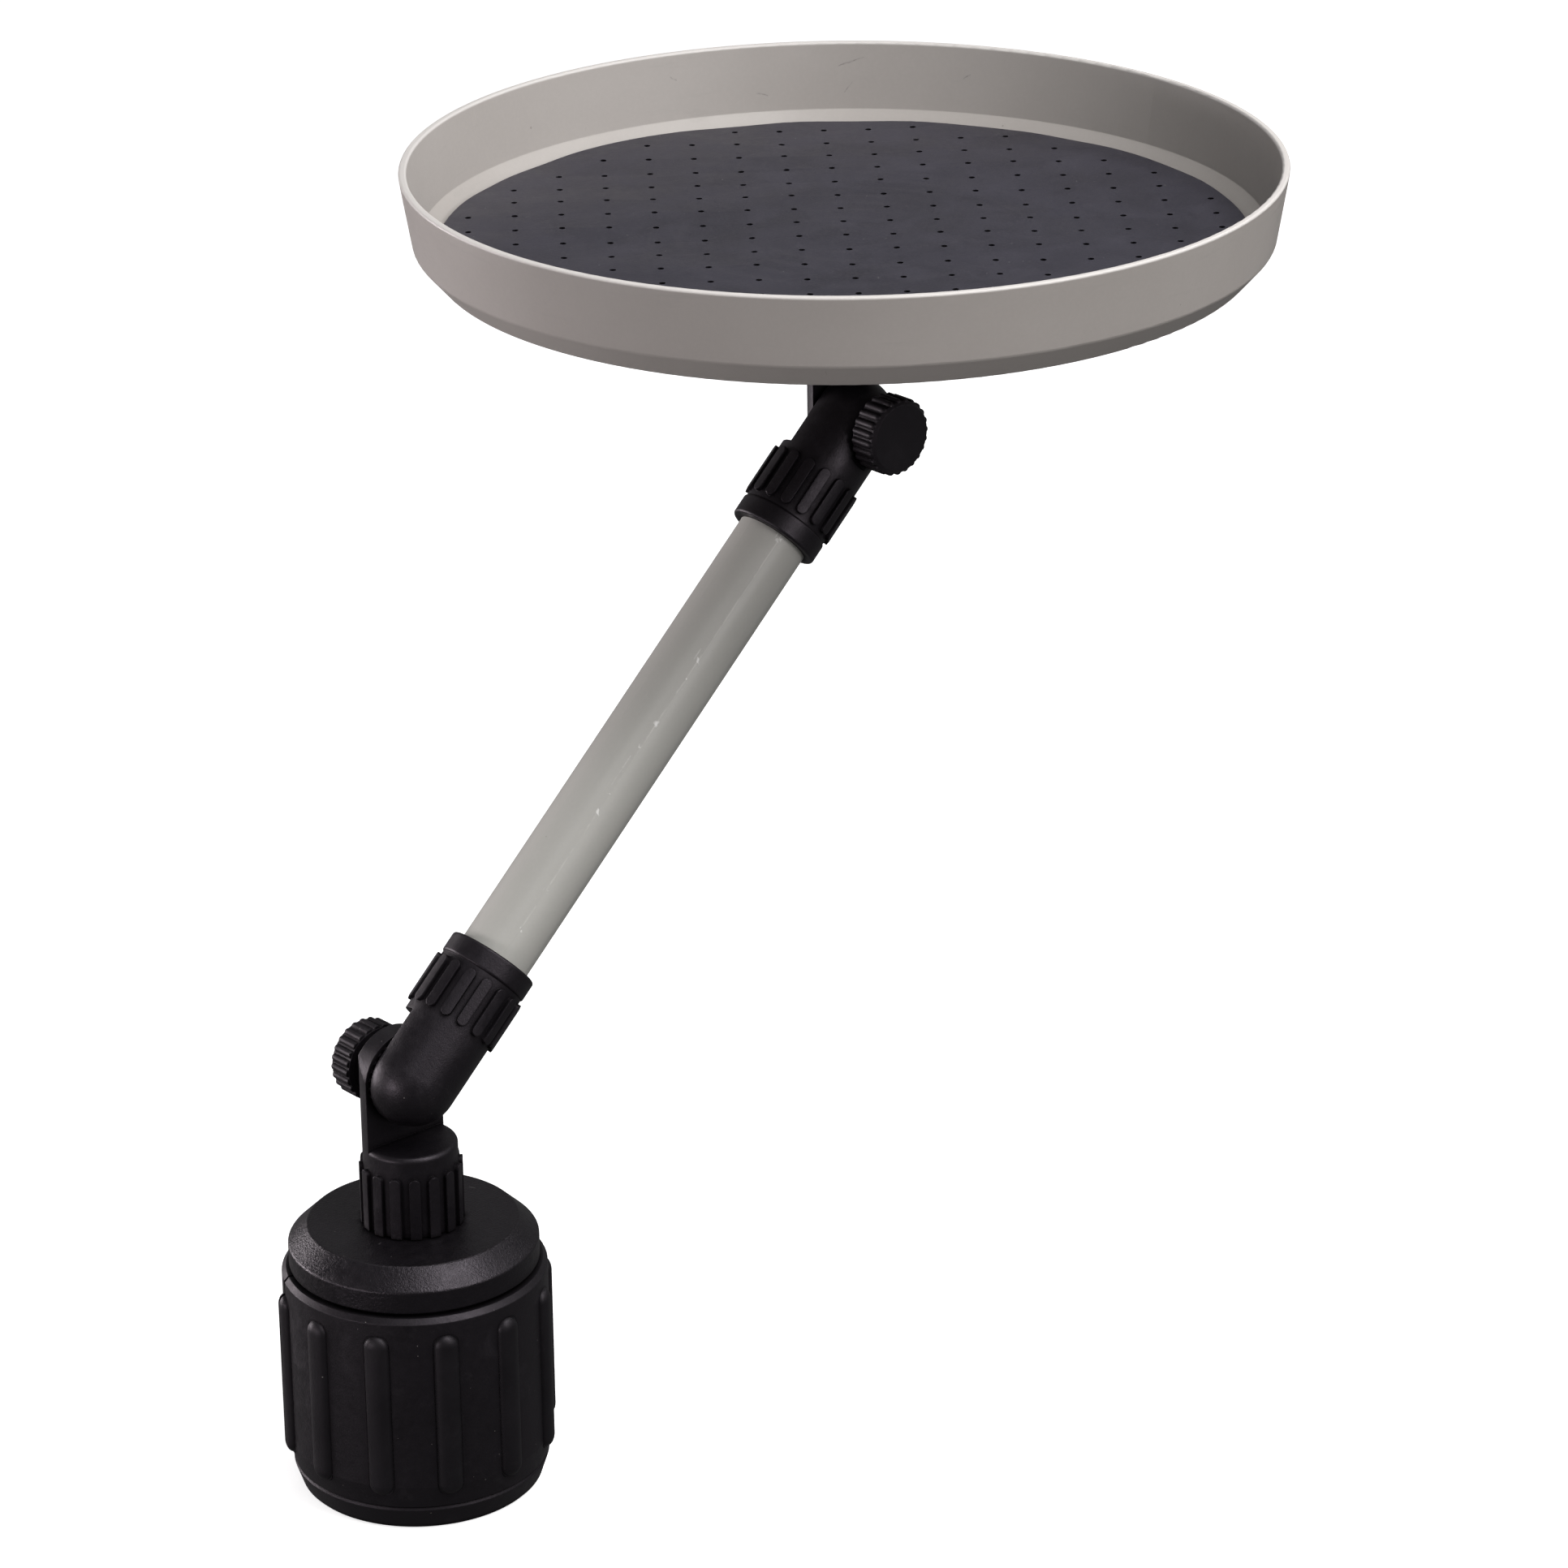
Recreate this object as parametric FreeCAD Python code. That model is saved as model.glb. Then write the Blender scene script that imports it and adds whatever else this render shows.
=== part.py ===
import FreeCAD, Part
import math
import os

os.makedirs("parts", exist_ok=True)
V = FreeCAD.Vector

# ---------------------------------------------------------------- dimensions, mm
# The origin is the centre of the underside of the foot, +Z is up, and the arm
# leans towards +X. The two tilt pins run along Y.

# expanding base
FOOT_R = 34.0
FOOT_R_BOTTOM = 32.2
FOOT_H = 7.0
JAW_R = 35.0
JAW_WALL = 3.2
JAW_Z0 = 7.3
JAW_RIM_Z = 62.8
JAW_TAPER_Z = 13.5
JAW_SPLIT = 0.9
JAW_TRAVEL = 8.0
JAW_YAW = -25.0
BAR_W = 6.7
BAR_PROUD = 1.8
BAR_SEAT = 0.8
BAR_Z0 = 11.2
BAR_Z1 = 57.8
BAR_PITCH = 30.0
PIN_R = 2.2
PIN_ORBIT = 17.0
SLOT_CLEAR = 0.3
DIAL_TURN = 150.0
ROD_R = 2.0
ROD_X = 20.0
ROD_Z = 34.0
ROD_HALF = 24.0

# dial
CAP_TOP_Z = 74.8
CAP_TOP_R = 27.7
CAP_CHAMFER_Z = 69.7
CAP_R = 33.0
CAP_SKIRT_Z = 63.6
CAP_NECK_R = 31.2
CAP_NECK_Z = 59.2
CAP_WEB_Z = 71.0
CAM_Z0 = 54.6
CAM_T = 3.0
CAM_R = 30.3
CAM_BORE_R = 13.4

# core
COLUMN_R = 9.0
COLUMN_BORE_R = 7.0
SHOULDER_R = 13.0
SHOULDER_Z0 = 60.0
SHOULDER_Z1 = 70.7
SPIGOT_R = 10.6
CORE_TOP_Z = 75.1
CORE_WEB_Z = 66.0

# post
POST_R = 12.5
POST_RIB_PROUD = 1.1
POST_RIB_W = 2.9
POST_RIBS = 16
POST_RIB_Z = 92.3
PLATFORM_Z = 98.0

# tilt joints
PIVOT_Z = 115.5
TOP_PIVOT_X = 154.0
TOP_PIVOT_Z = 260.0
ARM_Y = -2.1
EAR_FACE_Y = 1.6
ELBOW_FACE_Y = 0.4
TOOTH_H = 0.45
TEETH = 30
STUD_R = 3.0
STUD_HOLE_R = 3.3
INSERT_R = 5.0
INSERT_BORE_R = 3.05

# arm
ELBOW_R = 12.0
ELBOW_RIB_R = 13.1
ELBOW_RING_R = 12.4
ELBOW_STEP = 15.0
ELBOW_RIB_S0 = 17.5
ELBOW_RIB_S1 = 31.5
ELBOW_LEN = 38.5
TUBE_R = 9.8
TUBE_BORE_R = 8.2
TUBE_SOCKET = 20.0

# knobs
KNOB_R = 10.6
KNOB_H = 8.0
KNOB_RIBS = 24
LOWER_SEAT_Y = 7.2
LOWER_RIM_Y = 12.0
UPPER_SEAT_Y = -13.6

# tray
STEM_R = 10.2
STEM_SHOULDER = 14.5
FLANGE_R = 25.0
FLANGE_T = 3.2
TRAY_Z0 = 305.8
TRAY_Z1 = 331.4
TRAY_R = 116.5
TRAY_BEVEL_R = 113.4
TRAY_BEVEL_Z = 312.4
TRAY_BOTTOM_R = 107.6
TRAY_T = 2.1
TRAY_FLOOR_T = 2.8
MAT_R = 107.2
MAT_T = 2.0
DIMPLE_R = 0.85
DIMPLE_DEPTH = 1.2
DIMPLE_PITCH = 12.4
DIMPLE_YAW = -38.2
DIMPLE_OFFSET = (0.5, -0.6)

arm_dx = TOP_PIVOT_X
arm_dz = TOP_PIVOT_Z - PIVOT_Z
arm_len = math.hypot(arm_dx, arm_dz)
arm_dir = V(arm_dx / arm_len, 0, arm_dz / arm_len)
low = V(0, ARM_Y, PIVOT_Z)
top = V(TOP_PIVOT_X, ARM_Y, TOP_PIVOT_Z)


# ---------------------------------------------------------------- helpers
def cyl(r, h, x=0.0, y=0.0, z=0.0, d=V(0, 0, 1)):
    return Part.makeCylinder(r, h, V(x, y, z), d)


def tube(ro, ri, h, x=0.0, y=0.0, z=0.0, d=V(0, 0, 1)):
    return cyl(ro, h, x, y, z, d).cut(cyl(ri, h, x, y, z, d))


def box(x0, x1, y0, y1, z0, z1):
    return Part.makeBox(x1 - x0, y1 - y0, z1 - z0, V(x0, y0, z0))


def turned(profile, x=0.0, y=0.0):
    pts = [V(r, 0, z) for r, z in profile]
    pts.append(pts[0])
    face = Part.Face(Part.makePolygon(pts))
    s = face.revolve(V(0, 0, 0), V(0, 0, 1), 360)
    s.translate(V(x, y, 0))
    return s


def hexagon(r, h, base, d):
    pts = [V(r * math.cos(math.radians(60 * i)), r * math.sin(math.radians(60 * i)), 0) for i in range(7)]
    s = Part.Face(Part.makePolygon(pts)).extrude(V(0, 0, h))
    s.Placement = FreeCAD.Placement(base, FreeCAD.Rotation(V(0, 0, 1), d))
    return s


def fused(items):
    s = items[0]
    if len(items) > 1:
        s = s.multiFuse(items[1:])
    return s.removeSplitter()


def turn_z(s, a):
    c = s.copy()
    c.rotate(V(0, 0, 0), V(0, 0, 1), a)
    return c


def spun(s, a, base, d):
    c = s.copy()
    c.rotate(base, d, a)
    return c


def fillet(s, r, test):
    edges = [e for e in s.Edges if test(e)]
    if not edges:
        return s
    try:
        f = s.makeFillet(r, edges)
        return f if f.isValid() and f.Volume > 0 else s
    except Exception:
        return s


def chamfer(s, r, test):
    edges = [e for e in s.Edges if test(e)]
    if not edges:
        return s
    try:
        f = s.makeChamfer(r, edges)
        return f if f.isValid() and f.Volume > 0 else s
    except Exception:
        return s


def circle_at(e, r, z=None, tol=0.02):
    c = e.Curve
    if not isinstance(c, Part.Circle) or abs(c.Radius - r) > tol:
        return False
    return z is None or abs(c.Center.z - z) < tol


def save(name, shape):
    if isinstance(shape, list):
        shape = Part.makeCompound(shape)
    elif len(shape.Solids) == 1:
        shape = shape.Solids[0]
    shape.exportStep("parts/%s.step" % name)


def blank(r, length, head_r, head_h, base, d):
    # the seat that a countersunk screw leaves
    head = Part.makeCone(head_r, r, head_h, base, d)
    shank = Part.makeCylinder(r, length, base, d)
    return head.fuse(shank).removeSplitter()


def screw(r, length, head_r, head_h, base, d):
    # a countersunk screw: base is the centre of its flat head, d points down its shank
    s = blank(r, length, head_r, head_h, base, d)
    slot = Part.makeBox(head_r * 1.2, 0.6, 0.7, V(-head_r * 0.6, -0.3, 0))
    slot2 = Part.makeBox(0.6, head_r * 1.2, 0.7, V(-0.3, -head_r * 0.6, 0))
    cross = slot.fuse(slot2)
    cross.Placement = FreeCAD.Placement(base, FreeCAD.Rotation(V(0, 0, 1), d))
    return s.cut(cross)


def ribs_about(base, d, r_in, r_out, width, s0, s1, count, start=0.0):
    # straight ribs with rounded ends round a shaft whose axis is base + s * d
    rib = Part.makeBox(r_out - r_in, width, s1 - s0 - width, V(r_in, -width / 2, s0 + width / 2))
    for s in (s0 + width / 2, s1 - width / 2):
        rib = rib.fuse(Part.makeCylinder(width / 2, r_out - r_in, V(r_in, 0, s), V(1, 0, 0)))
    rib = rib.removeSplitter()
    crown = Part.makeCylinder(r_out, s1 - s0 + 2, V(0, 0, s0 - 1))
    rib = rib.common(crown)
    out = []
    rot = FreeCAD.Rotation(V(0, 0, 1), d)
    for i in range(count):
        c = rib.copy()
        c.rotate(V(0, 0, 0), V(0, 0, 1), start + 360.0 * i / count)
        c.Placement = FreeCAD.Placement(base, rot).multiply(c.Placement)
        out.append(c)
    return out


def teeth_on(face_y, grow, cx, cz, r0, r1):
    # radial teeth about a pivot line along Y, standing on the plane y = face_y
    out = []
    pitch = 2 * math.pi / TEETH
    for i in range(TEETH):
        w0 = 0.5 * pitch * 0.62 * r0
        w1 = 0.5 * pitch * 0.62 * r1
        t0 = w0 * 0.35
        t1 = w1 * 0.35
        y0 = face_y - grow * 0.2
        y1 = face_y + grow * TOOTH_H
        a = [V(r0, y0, -w0), V(r1, y0, -w1), V(r1, y0, w1), V(r0, y0, w0), V(r0, y0, -w0)]
        b = [V(r0, y1, -t0), V(r1, y1, -t1), V(r1, y1, t1), V(r0, y1, t0), V(r0, y1, -t0)]
        s = Part.makeLoft([Part.makePolygon(a), Part.makePolygon(b)], True, True)
        s.rotate(V(0, 0, 0), V(0, 1, 0), math.degrees(pitch) * i)
        s.translate(V(cx, 0, cz))
        out.append(s)
    return out


# ---------------------------------------------------------------- foot, core, rods
foot = turned([(0, 0), (FOOT_R_BOTTOM - 0.8, 0), (FOOT_R_BOTTOM, 0.8), (FOOT_R, FOOT_H - 0.8),
               (FOOT_R - 0.4, FOOT_H), (0, FOOT_H)])
foot_screw_r = 12.2
foot_screws = []
foot_seats = []
for k in range(3):
    a = math.radians(30 + 120 * k)
    b = V(foot_screw_r * math.cos(a), foot_screw_r * math.sin(a), 0.6)
    foot_screws.append(screw(1.45, 13.0, 2.9, 1.5, b, V(0, 0, 1)))
    foot_seats.append(blank(1.45, 13.0, 2.9, 1.5, b, V(0, 0, 1)))
    foot = foot.cut(Part.makeCylinder(2.9, 0.6, V(b.x, b.y, 0)))
for s in foot_seats:
    foot = foot.cut(s)

core = turned([(COLUMN_BORE_R, FOOT_H), (16.2, FOOT_H), (16.2, FOOT_H + 4.5), (COLUMN_R, FOOT_H + 4.5),
               (COLUMN_R, SHOULDER_Z0 - 2), (SHOULDER_R, SHOULDER_Z0 + 1.5), (SHOULDER_R, SHOULDER_Z1),
               (SPIGOT_R, SHOULDER_Z1), (SPIGOT_R, CORE_TOP_Z), (3.08, CORE_TOP_Z), (3.08, CORE_WEB_Z),
               (COLUMN_BORE_R, CORE_WEB_Z)])
core = core.fuse(box(-ROD_X - 4.5, ROD_X + 4.5, -4, 4, ROD_Z - 4.5, ROD_Z + 4.5))
for k in range(3):
    a = math.radians(30 + 120 * k)
    b = V(foot_screw_r * math.cos(a), foot_screw_r * math.sin(a), FOOT_H)
    core = core.fuse(cyl(3.5, 9.0, b.x, b.y, b.z))
core = core.cut(cyl(COLUMN_BORE_R, 30, z=FOOT_H))
for s in foot_seats:
    core = core.cut(s)
rods = []
for sx in (-1, 1):
    r = cyl(ROD_R, 2 * ROD_HALF, sx * ROD_X, -ROD_HALF, ROD_Z, V(0, 1, 0))
    r = chamfer(r, 0.4, lambda e: isinstance(e.Curve, Part.Circle))
    rods.append(r)
    core = core.cut(cyl(ROD_R, 10, sx * ROD_X, -5, ROD_Z, V(0, 1, 0)))

# ---------------------------------------------------------------- jaws and pads
def make_jaw():
    ri = JAW_R - JAW_WALL
    wall = turned([(JAW_R - 2.2, JAW_Z0), (JAW_R - 1.0, JAW_Z0), (JAW_R, JAW_TAPER_Z), (JAW_R, JAW_RIM_Z - 1.4),
                   (JAW_R - 1.2, JAW_RIM_Z), (ri, JAW_RIM_Z), (ri, JAW_Z0)])
    ring_in = cyl(ri + 0.5, JAW_RIM_Z, z=0)
    shelf = cyl(ri + 0.5, 3.0, z=49.0).common(box(-40, 40, -40, -13.6, 40, 60))
    floor = cyl(ri + 0.5, 2.4, z=JAW_Z0).common(box(-40, 40, -40, -17.0, 0, 20))
    j = wall.fuse(shelf).fuse(floor)
    for sx in (-1, 1):
        boss = box(sx * ROD_X - 4.6, sx * ROD_X + 4.6, -30, -8.0, ROD_Z - 4.6, ROD_Z + 4.6)
        j = j.fuse(boss.common(ring_in))
    # two stiffening webs under the shelf
    for sx in (-1, 1):
        j = j.fuse(box(sx * 9 - 1.0, sx * 9 + 1.0, -33, -14.5, 9, 50).common(ring_in))
    j = j.fuse(cyl(PIN_R, CAM_Z0 + 2.7 - 52.0 + 0.5, 0, -PIN_ORBIT, 51.5))
    j = j.removeSplitter()
    j = j.common(box(-60, 60, -60, -JAW_SPLIT / 2, 0, 100))
    for sx in (-1, 1):
        j = j.cut(cyl(ROD_R + 0.08, ROD_HALF + 0.3 - 5, sx * ROD_X, -ROD_HALF - 0.3, ROD_Z, V(0, 1, 0)))
    return j


def make_bar():
    b = box(JAW_R - BAR_SEAT, JAW_R + BAR_PROUD, -BAR_W / 2, BAR_W / 2, BAR_Z0, BAR_Z1)
    b = fillet(b, 2.4, lambda e: abs(e.Vertexes[0].X - e.Vertexes[1].X) > 1 and abs(e.Vertexes[0].Z - e.Vertexes[1].Z) < 1e-6)
    b = fillet(b, 1.1, lambda e: all(abs(v.X - JAW_R - BAR_PROUD) < 1e-4 for v in e.Vertexes))
    return b


bar = make_bar()
full_angles = [-90 + BAR_PITCH * k for k in (-2, -1, 0, 1, 2)]
bars = [turn_z(bar, a) for a in full_angles]
for a in (0.0, 180.0):
    half = turn_z(bar, a).common(box(-60, 60, -60, -JAW_SPLIT / 2, 0, 100))
    bars.append(half)
jaw = make_jaw()
for b in bars:
    jaw = jaw.cut(b)
front_jaw = jaw
back_jaw = turn_z(jaw, 180)
front_pads = bars
back_pads = [turn_z(b, 180) for b in bars]

# ---------------------------------------------------------------- dial: cap, cam, screws
cap = turned([(SPIGOT_R + 0.3, CAP_TOP_Z), (CAP_TOP_R, CAP_TOP_Z), (CAP_R, CAP_CHAMFER_Z), (CAP_R, CAP_SKIRT_Z),
              (CAP_NECK_R, CAP_SKIRT_Z), (CAP_NECK_R, CAP_NECK_Z), (CAP_NECK_R - 2.2, CAP_NECK_Z),
              (CAP_NECK_R - 2.2, CAP_WEB_Z - 1.5), (CAP_TOP_R - 2.5, CAP_WEB_Z), (SPIGOT_R + 0.3, CAP_WEB_Z)])
cap = fillet(cap, 0.8, lambda e: circle_at(e, CAP_TOP_R, CAP_TOP_Z) or circle_at(e, CAP_R, CAP_CHAMFER_Z))
cap = fillet(cap, 0.5, lambda e: circle_at(e, CAP_R, CAP_SKIRT_Z))
cam_screws = []
cam_seats = []
k_rate = JAW_TRAVEL / math.radians(DIAL_TURN)


def spiral_slot(a0):
    half = PIN_R + SLOT_CLEAR
    n = 60
    t_end = math.radians(DIAL_TURN)
    inner, outer = [], []
    for i in range(n + 1):
        t = t_end * i / n
        r = PIN_ORBIT + k_rate * t
        a = math.radians(a0) - t
        # unit tangent and normal of the path
        dx = k_rate * math.cos(a) + r * math.sin(a)
        dy = k_rate * math.sin(a) - r * math.cos(a)
        m = math.hypot(dx, dy)
        nx, ny = -dy / m, dx / m
        px, py = r * math.cos(a), r * math.sin(a)
        outer.append(V(px + nx * half, py + ny * half, 0))
        inner.append(V(px - nx * half, py - ny * half, 0))
    c1 = Part.BSplineCurve()
    c1.interpolate(outer)
    c2 = Part.BSplineCurve()
    c2.interpolate(inner)
    w = Part.Wire([c1.toShape(), Part.makeLine(outer[-1], inner[-1]), c2.toShape(), Part.makeLine(inner[0], outer[0])])
    s = Part.Face(w).extrude(V(0, 0, CAM_T + 2))
    s.translate(V(0, 0, CAM_Z0 - 1))
    for t in (0.0, t_end):
        r = PIN_ORBIT + k_rate * t
        a = math.radians(a0) - t
        s = s.fuse(cyl(half, CAM_T + 2, r * math.cos(a), r * math.sin(a), CAM_Z0 - 1))
    return s


cam = tube(CAM_R, CAM_BORE_R, CAM_T, z=CAM_Z0)
for a0 in (-90.0, 90.0):
    cam = cam.cut(spiral_slot(a0))
# the screws stand where both slots leave the disc whole
free_angles = []
for a0 in (-90.0, 90.0):
    free_angles.append(a0 + 16.0)
boss_pts = []
for a in free_angles:
    boss_pts.append((22.5 * math.cos(math.radians(a)), 22.5 * math.sin(math.radians(a))))
for x, y in boss_pts:
    cap = cap.fuse(cyl(3.4, CAP_WEB_Z - (CAM_Z0 + CAM_T) + 0.5, x, y, CAM_Z0 + CAM_T))
    sc = screw(1.45, 12.0, 2.8, 1.4, V(x, y, CAM_Z0), V(0, 0, 1))
    cam_screws.append(sc)
    cam_seats.append(blank(1.45, 12.0, 2.8, 1.4, V(x, y, CAM_Z0), V(0, 0, 1)))
cap = cap.removeSplitter()
for sc in cam_seats:
    cap = cap.cut(sc)
    cam = cam.cut(sc)

# ---------------------------------------------------------------- post
post = cyl(POST_R, PLATFORM_Z - CORE_TOP_Z, z=CORE_TOP_Z)
ear = cyl(POST_R, 60, z=PLATFORM_Z - 8)
outline = box(-20, 20, EAR_FACE_Y, 20, PLATFORM_Z - 8, PIVOT_Z).fuse(
    Part.makeCylinder(POST_R, 20 - EAR_FACE_Y, V(0, EAR_FACE_Y, PIVOT_Z), V(0, 1, 0)))
ear = ear.common(outline)
post = post.fuse(ear).removeSplitter()
post = fillet(post, 1.4, lambda e: circle_at(e, POST_R, PLATFORM_Z))
post = fused([post] + ribs_about(V(0, 0, 0), V(0, 0, 1), POST_R - 0.6, POST_R + POST_RIB_PROUD, POST_RIB_W,
                                 CORE_TOP_Z - 1.6, POST_RIB_Z, POST_RIBS, 11.25))
post = post.cut(box(-30, 30, -30, 30, CORE_TOP_Z - 5, CORE_TOP_Z))
post = post.cut(Part.makeCylinder(14.0, 20, V(0, LOWER_SEAT_Y, PIVOT_Z), V(0, 1, 0)))
post = fused([post] + teeth_on(EAR_FACE_Y, -1, 0, PIVOT_Z, 7.0, 11.4))
post = post.cut(Part.makeCylinder(STUD_HOLE_R, 40, V(0, -20, PIVOT_Z), V(0, 1, 0)))
bolt_insert = tube(4.6, 3.0, 11.0, z=78.0)
bolt_insert = bolt_insert.cut(tube(6.0, 4.2, 1.2, z=83.0))
post = post.cut(cyl(4.6, 13.9, z=CORE_TOP_Z))
post = post.fuse(tube(4.6, 4.2, 1.2, z=83.0)).removeSplitter()
swivel_bolt = cyl(3.0, 22.5, z=64.6).fuse(hexagon(5.4, 3.8, V(0, 0, 60.8), V(0, 0, 1)))
swivel_bolt = swivel_bolt.removeSplitter()
swivel_washer = tube(6.4, 3.05, 1.1, z=64.6)

# ---------------------------------------------------------------- elbows
def make_elbow(base, d, seat):
    ball = Part.makeSphere(ELBOW_R, base)
    body = Part.makeCylinder(ELBOW_R, ELBOW_LEN - 1, base, d)
    s = ball.fuse(body)
    ring = Part.makeCylinder(ELBOW_RING_R, ELBOW_LEN - ELBOW_RIB_S1 - 1.2, base + d * (ELBOW_RIB_S1 + 1.2), d)
    ring = ring.makeFillet(0.7, [e for e in ring.Edges if isinstance(e.Curve, Part.Circle)])
    s = s.fuse(ring).removeSplitter()
    # the half of the joint that belongs to the mating ear is cut away
    zone = Part.makeCylinder(40, ELBOW_STEP + 40, base - d * 40, d)
    zone = zone.common(box(-60, 260, ELBOW_FACE_Y, 60, 0, 400))
    s = s.cut(zone)
    ribs = ribs_about(base, d, ELBOW_R - 0.6, ELBOW_RIB_R, 2.9, ELBOW_RIB_S0, ELBOW_RIB_S1, 16, 11.25)
    s = fused([s] + ribs)
    s = s.cut(Part.makeCylinder(TUBE_R, ELBOW_LEN, base + d * TUBE_SOCKET, d))
    if seat is not None:
        s = s.cut(Part.makeCylinder(11.5, 20, V(base.x, seat, base.z), V(0, -1, 0)))
    s = fused([s] + teeth_on(ELBOW_FACE_Y, 1, base.x, base.z, 7.0, 11.2))
    return s


lower_elbow = make_elbow(low, arm_dir, None)
upper_elbow = make_elbow(top, arm_dir * -1, UPPER_SEAT_Y)

lower_insert = Part.makeCylinder(INSERT_R, 9.0, V(0, -9.4, PIVOT_Z), V(0, 1, 0)).cut(
    Part.makeCylinder(INSERT_BORE_R, 9.0, V(0, -9.4, PIVOT_Z), V(0, 1, 0)))
lower_elbow = lower_elbow.cut(Part.makeCylinder(INSERT_R, 30, V(0, -9.4, PIVOT_Z), V(0, 1, 0)))
lower_elbow = lower_elbow.cut(Part.makeCylinder(INSERT_BORE_R, 3, V(0, -11.6, PIVOT_Z), V(0, 1, 0)))
upper_elbow = upper_elbow.cut(Part.makeCylinder(STUD_HOLE_R, 40, V(TOP_PIVOT_X, -30, TOP_PIVOT_Z), V(0, 1, 0)))

# ---------------------------------------------------------------- tube
tube_len = arm_len - 2 * TUBE_SOCKET
tube_base = low + arm_dir * TUBE_SOCKET
arm_tube = Part.makeCylinder(TUBE_R, tube_len, tube_base, arm_dir).cut(
    Part.makeCylinder(TUBE_BORE_R, tube_len, tube_base, arm_dir))

# ---------------------------------------------------------------- knobs, studs, washers
def make_knob(cx, cz, y_in, side, stand):
    # y_in is the plane of the open rim; side is the way the smooth face looks; the hub ends stand below the rim
    d = V(0, side, 0)
    base = V(cx, y_in, cz)
    body = Part.makeCylinder(KNOB_R - 0.7, KNOB_H, base, d)
    body = body.makeChamfer(0.8, [e for e in body.Edges if isinstance(e.Curve, Part.Circle)
                                  and abs(e.Curve.Center.y - (y_in + side * KNOB_H)) < 1e-3])
    ribs = []
    rib = Part.makeCylinder(1.05, KNOB_H - 1.9, V(KNOB_R - 1.05, 0, 0.3))
    rib = rib.fuse(Part.makeSphere(1.05, V(KNOB_R - 1.05, 0, KNOB_H - 1.6)))
    rot = FreeCAD.Rotation(V(0, 0, 1), d)
    for i in range(KNOB_RIBS):
        c = rib.copy()
        c.rotate(V(0, 0, 0), V(0, 0, 1), 360.0 * i / KNOB_RIBS)
        c.Placement = FreeCAD.Placement(base, rot).multiply(c.Placement)
        ribs.append(c)
    s = fused([body] + ribs)
    s = s.cut(Part.makeCylinder(8.3, 2.6, base, d))
    hub = Part.makeCylinder(4.6, stand + 2.6, base - d * stand, d)
    s = s.fuse(hub).removeSplitter()
    return s


def make_stud(cx, cz, y_in, side, reach):
    d = V(0, side, 0)
    head_base = V(cx, y_in + side * 3.4, cz)
    head = hexagon(4.9, 2.6, head_base, d)
    shank = Part.makeCylinder(STUD_R, abs(y_in + side * 3.4 - reach) + 0.5, V(cx, y_in + side * 3.9, cz), d * -1)
    return head.fuse(shank).removeSplitter()


lower_rim_y = LOWER_RIM_Y
upper_rim_y = UPPER_SEAT_Y - 0.4
lower_knob = make_knob(0, PIVOT_Z, lower_rim_y, 1, LOWER_RIM_Y - LOWER_SEAT_Y - 1.1)
upper_knob = make_knob(TOP_PIVOT_X, TOP_PIVOT_Z, upper_rim_y, -1, -0.6)
lower_stud = make_stud(0, PIVOT_Z, lower_rim_y, 1, -8.8)
upper_stud = make_stud(TOP_PIVOT_X, TOP_PIVOT_Z, upper_rim_y, -1, 7.2)
lower_knob = lower_knob.cut(lower_stud)
upper_knob = upper_knob.cut(upper_stud)
lower_washer = Part.makeCylinder(7.4, 0.7, V(0, LOWER_SEAT_Y + 0.3, PIVOT_Z), V(0, 1, 0)).cut(
    Part.makeCylinder(STUD_R + 0.05, 5, V(0, LOWER_SEAT_Y - 1, PIVOT_Z), V(0, 1, 0)))
upper_washer = Part.makeCylinder(7.4, 0.7, V(TOP_PIVOT_X, UPPER_SEAT_Y - 1.0, TOP_PIVOT_Z), V(0, 1, 0)).cut(
    Part.makeCylinder(STUD_R + 0.05, 5, V(TOP_PIVOT_X, UPPER_SEAT_Y - 3, TOP_PIVOT_Z), V(0, 1, 0)))
lower_knob = lower_knob.cut(lower_washer)
upper_knob = upper_knob.cut(upper_washer)

# ---------------------------------------------------------------- stem
stem = cyl(STEM_R, TRAY_Z0 - TOP_PIVOT_Z, TOP_PIVOT_X, 0, TOP_PIVOT_Z)
stem = stem.cut(box(TOP_PIVOT_X - 20, TOP_PIVOT_X + 20, -20, EAR_FACE_Y, TOP_PIVOT_Z - 40, TOP_PIVOT_Z + STEM_SHOULDER))
tip = cyl(STEM_R, 30, TOP_PIVOT_X, 0, TOP_PIVOT_Z - 20).common(
    Part.makeCylinder(STEM_R, 20, V(TOP_PIVOT_X, EAR_FACE_Y, TOP_PIVOT_Z), V(0, 1, 0)))
flange = cyl(FLANGE_R, FLANGE_T, TOP_PIVOT_X, 0, TRAY_Z0 - FLANGE_T)
flare = turned([(STEM_R - 0.5, TRAY_Z0 - FLANGE_T - 7), (STEM_R, TRAY_Z0 - FLANGE_T - 7),
                (STEM_R + 6, TRAY_Z0 - FLANGE_T), (STEM_R - 0.5, TRAY_Z0 - FLANGE_T)], TOP_PIVOT_X, 0)
stem = fused([stem, tip, flange, flare])
stem = fused([stem] + [t.common(cyl(STEM_R, 60, TOP_PIVOT_X, 0, TOP_PIVOT_Z - 30))
                       for t in teeth_on(EAR_FACE_Y, -1, TOP_PIVOT_X, TOP_PIVOT_Z, 7.0, STEM_R - 0.4)])
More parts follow.
